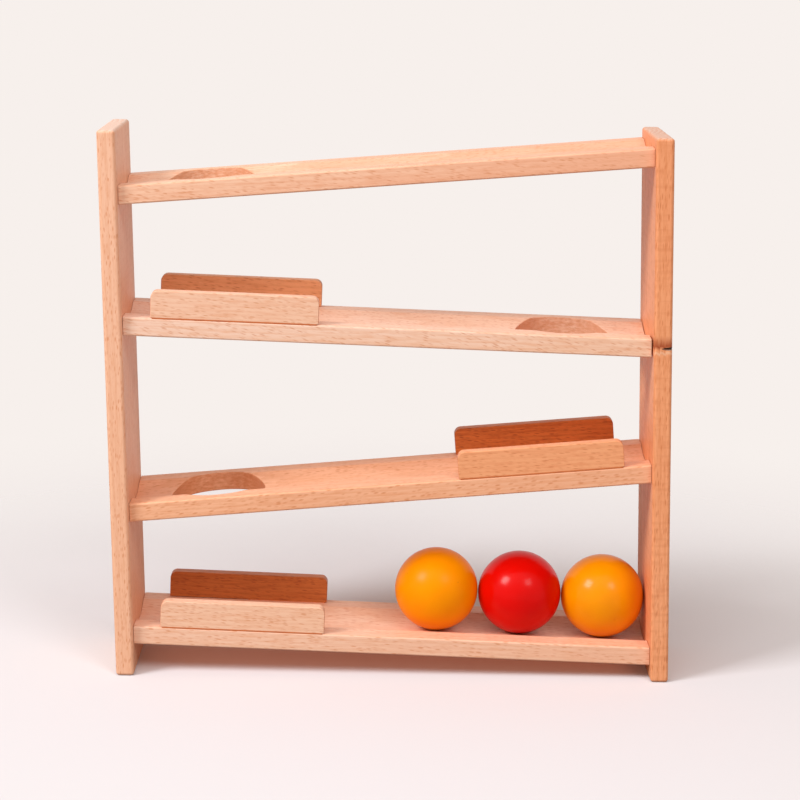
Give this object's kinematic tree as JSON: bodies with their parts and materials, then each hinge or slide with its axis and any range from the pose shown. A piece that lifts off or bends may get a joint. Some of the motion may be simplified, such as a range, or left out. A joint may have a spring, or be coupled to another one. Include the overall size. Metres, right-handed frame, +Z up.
{
  "type": "marble run",
  "caption": "Wooden marble run: grooved ramps falling left and right between upright posts, with drop holes, guard rails where balls land, and loose wooden balls.",
  "frame": {"origin": "on the floor, under the middle of the whole toy", "axes": "+X to the right seen from the front, +Y to the back, +Z up"},
  "size_m": [0.3354, 0.077, 0.322],
  "materials": {
    "beech_post": "steamed beech, sanded, oiled, satin",
    "beech_ramp": "steamed beech, sanded, oiled, satin",
    "beech_guard": "steamed beech, sanded, oiled, satin",
    "beech_dowel": "raw turned beech",
    "yellow_lacquer": "turned wood under glossy orange-yellow lacquer",
    "red_lacquer": "turned wood under glossy red lacquer"
  },
  "bodies": {
    "frame": {"left_post": "beech_post", "right_post": "beech_post", "bottom_ramp": "beech_ramp", "third_ramp": "beech_ramp", "second_ramp": "beech_ramp", "top_ramp": "beech_ramp", "bottom_front_guard": "beech_guard", "bottom_rear_guard": "beech_guard", "third_front_guard": "beech_guard", "third_rear_guard": "beech_guard", "second_front_guard": "beech_guard", "second_rear_guard": "beech_guard", "bottom_ramp_left_front_dowel": "beech_dowel", "bottom_ramp_left_rear_dowel": "beech_dowel", "bottom_ramp_right_front_dowel": "beech_dowel", "bottom_ramp_right_rear_dowel": "beech_dowel", "third_ramp_left_front_dowel": "beech_dowel", "third_ramp_left_rear_dowel": "beech_dowel", "third_ramp_right_front_dowel": "beech_dowel", "third_ramp_right_rear_dowel": "beech_dowel", "second_ramp_left_front_dowel": "beech_dowel", "second_ramp_left_rear_dowel": "beech_dowel", "second_ramp_right_front_dowel": "beech_dowel", "second_ramp_right_rear_dowel": "beech_dowel", "top_ramp_left_front_dowel": "beech_dowel", "top_ramp_left_rear_dowel": "beech_dowel", "top_ramp_right_front_dowel": "beech_dowel", "top_ramp_right_rear_dowel": "beech_dowel", "bottom_front_guard_left_pin": "beech_dowel", "bottom_front_guard_right_pin": "beech_dowel", "bottom_rear_guard_left_pin": "beech_dowel", "bottom_rear_guard_right_pin": "beech_dowel", "third_front_guard_left_pin": "beech_dowel", "third_front_guard_right_pin": "beech_dowel", "third_rear_guard_left_pin": "beech_dowel", "third_rear_guard_right_pin": "beech_dowel", "second_front_guard_left_pin": "beech_dowel", "second_front_guard_right_pin": "beech_dowel", "second_rear_guard_left_pin": "beech_dowel", "second_rear_guard_right_pin": "beech_dowel"},
    "right_ball": {"right_yellow_ball": "yellow_lacquer"},
    "middle_ball": {"red_ball": "red_lacquer"},
    "left_ball": {"left_yellow_ball": "yellow_lacquer"}
  },
  "joints": [
    {"name": "right_ball_roll", "type": "slide", "parent": "frame", "child": "right_ball", "axis": [-0.9995, 0, 0.0304], "range_m": [0, 0.0517]},
    {"name": "middle_ball_roll", "type": "slide", "parent": "right_ball", "child": "middle_ball", "axis": [-0.9995, 0, 0.0304], "range_m": [0, 0.0517]},
    {"name": "left_ball_roll", "type": "slide", "parent": "middle_ball", "child": "left_ball", "axis": [-0.9995, 0, 0.0304], "range_m": [0, 0.0517]}
  ]
}
